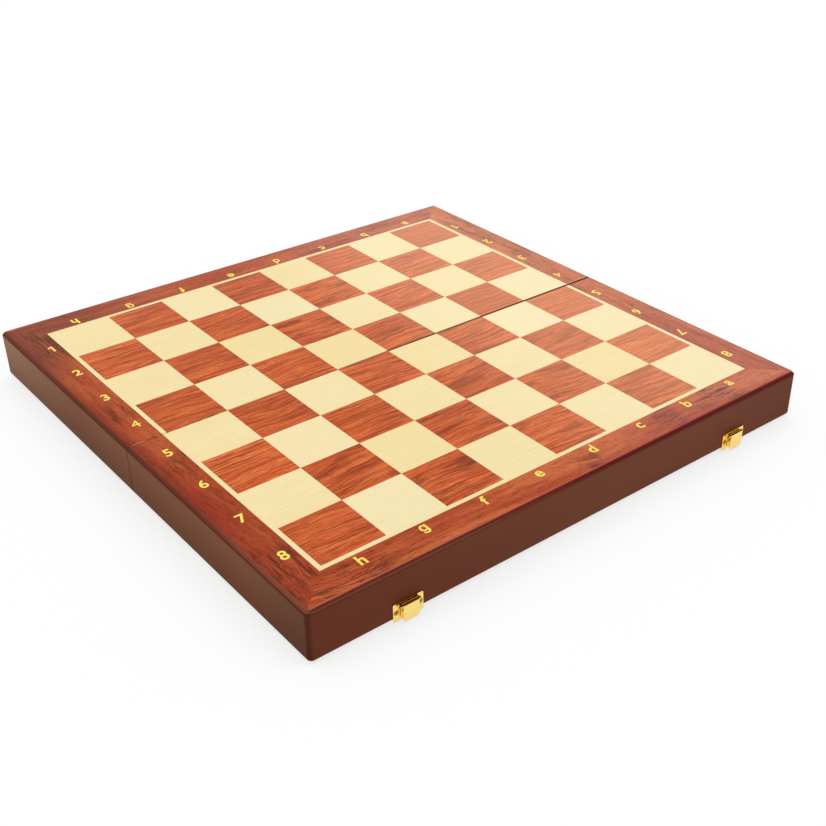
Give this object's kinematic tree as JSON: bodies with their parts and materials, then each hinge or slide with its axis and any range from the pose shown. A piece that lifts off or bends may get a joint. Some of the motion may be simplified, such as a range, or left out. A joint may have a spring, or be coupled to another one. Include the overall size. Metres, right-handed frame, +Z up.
{
  "type": "folding chess board",
  "caption": "Wooden chess board in two hinged half cases that fold into a flat box, with an inlaid field, a veneered border, lined trays and hook latches.",
  "frame": {"origin": "on the table, under the middle of the fold", "axes": "+X along the fold, +Y from the latch side to the strike side, +Z up from the table"},
  "size_m": [0.39, 0.3972, 0.0348],
  "materials": {
    "dark_veneer": "satin lacquer",
    "light_veneer": "satin lacquer",
    "border_veneer": "satin lacquer",
    "painted_wood": "satin paint",
    "lining": "cloth",
    "gilt_metal": "polished",
    "fittings_steel": "polished"
  },
  "bodies": {
    "front_half": {"front_border_left": "border_veneer", "front_border_outer": "border_veneer", "front_border_right": "border_veneer", "front_dark_squares": "dark_veneer", "front_inlay": "light_veneer", "front_left_wall": "painted_wood", "front_light_squares": "light_veneer", "front_lining": "lining", "front_outer_wall": "painted_wood", "front_panel": "painted_wood", "front_right_wall": "painted_wood", "front_seam_wall": "painted_wood", "hinge_left_front_leaf": "gilt_metal", "hinge_left_pin": "fittings_steel", "hinge_right_front_leaf": "gilt_metal", "hinge_right_pin": "fittings_steel", "hinge_screws_front": "fittings_steel", "latch_left_pin": "fittings_steel", "latch_left_plate": "gilt_metal", "latch_right_pin": "fittings_steel", "latch_right_plate": "gilt_metal", "latch_screws": "fittings_steel"},
    "rear_half": {"hinge_left_rear_leaf": "gilt_metal", "hinge_right_rear_leaf": "gilt_metal", "hinge_screws_rear": "fittings_steel", "rear_border_left": "border_veneer", "rear_border_outer": "border_veneer", "rear_border_right": "border_veneer", "rear_dark_squares": "dark_veneer", "rear_inlay": "light_veneer", "rear_left_wall": "painted_wood", "rear_light_squares": "light_veneer", "rear_lining": "lining", "rear_outer_wall": "painted_wood", "rear_panel": "painted_wood", "rear_right_wall": "painted_wood", "rear_seam_wall": "painted_wood", "strike_left": "gilt_metal", "strike_right": "gilt_metal", "strike_screws": "fittings_steel"},
    "latch_left": {"latch_left_flap": "gilt_metal"},
    "latch_right": {"latch_right_flap": "gilt_metal"}
  },
  "joints": [
    {"name": "fold", "type": "hinge", "parent": "front_half", "child": "rear_half", "pos_m": [0, 0, 0.0015], "axis": [-1, 0, 0], "range_deg": [0, 180]},
    {"name": "latch_left_swing", "type": "hinge", "parent": "front_half", "child": "latch_left", "pos_m": [-0.133, -0.1976, 0.0109], "axis": [-1, 0, 0], "range_deg": [0, 90]},
    {"name": "latch_right_swing", "type": "hinge", "parent": "front_half", "child": "latch_right", "pos_m": [0.133, -0.1976, 0.0109], "axis": [-1, 0, 0], "range_deg": [0, 90]}
  ]
}
